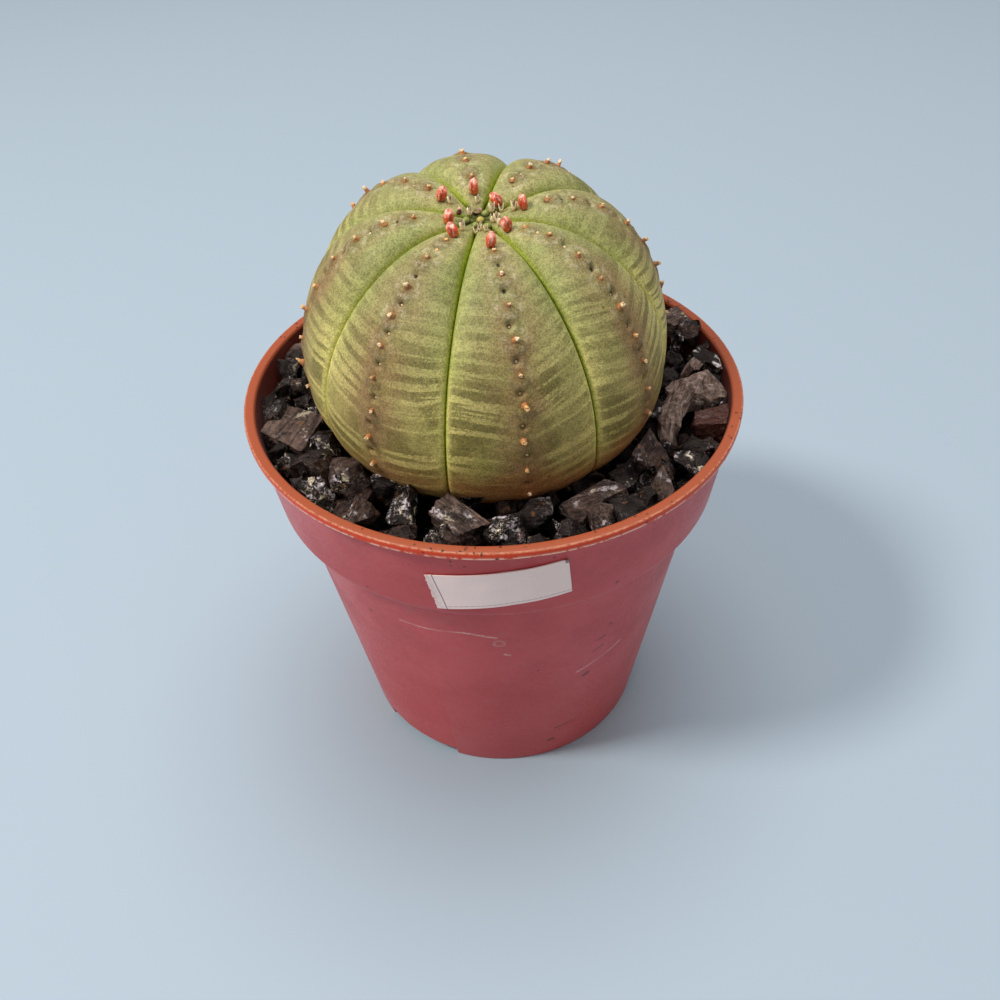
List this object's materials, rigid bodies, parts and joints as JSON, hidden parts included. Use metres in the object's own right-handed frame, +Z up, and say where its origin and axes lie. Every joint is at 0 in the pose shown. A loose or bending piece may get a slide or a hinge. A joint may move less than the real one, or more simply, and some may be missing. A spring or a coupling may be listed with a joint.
{
  "type": "potted baseball plant",
  "caption": "Ribbed globe-shaped succulent with small red buds round its crown, growing in black stone grit in a round tapered plastic pot.",
  "frame": {"origin": "centre of the pot's base, on the surface that the pot stands on", "axes": "+Z up along the pot's axis, -Y towards the side with the paper label"},
  "size_m": [0.06, 0.06, 0.0772],
  "materials": {
    "pot": "injection-moulded terracotta plastic, satin, lightly scuffed",
    "label": "matte white paper with a torn left end",
    "potting_mix": "dark crumbly potting mix",
    "grit": "black glassy crushed slag with fractured facets",
    "plant_skin": "matte grey-green skin with darker bands and tan scars",
    "bud": "waxy salmon-red bud"
  },
  "bodies": {
    "root": {"pot": "pot", "label": "label", "potting_mix": "potting_mix", "grit": "grit", "plant_body": "plant_skin", "cyathium_01": "bud", "cyathium_02": "bud", "cyathium_03": "bud", "cyathium_04": "bud", "cyathium_05": "bud", "cyathium_06": "bud", "cyathium_07": "bud", "cyathium_08": "bud"}
  },
  "joints": []
}
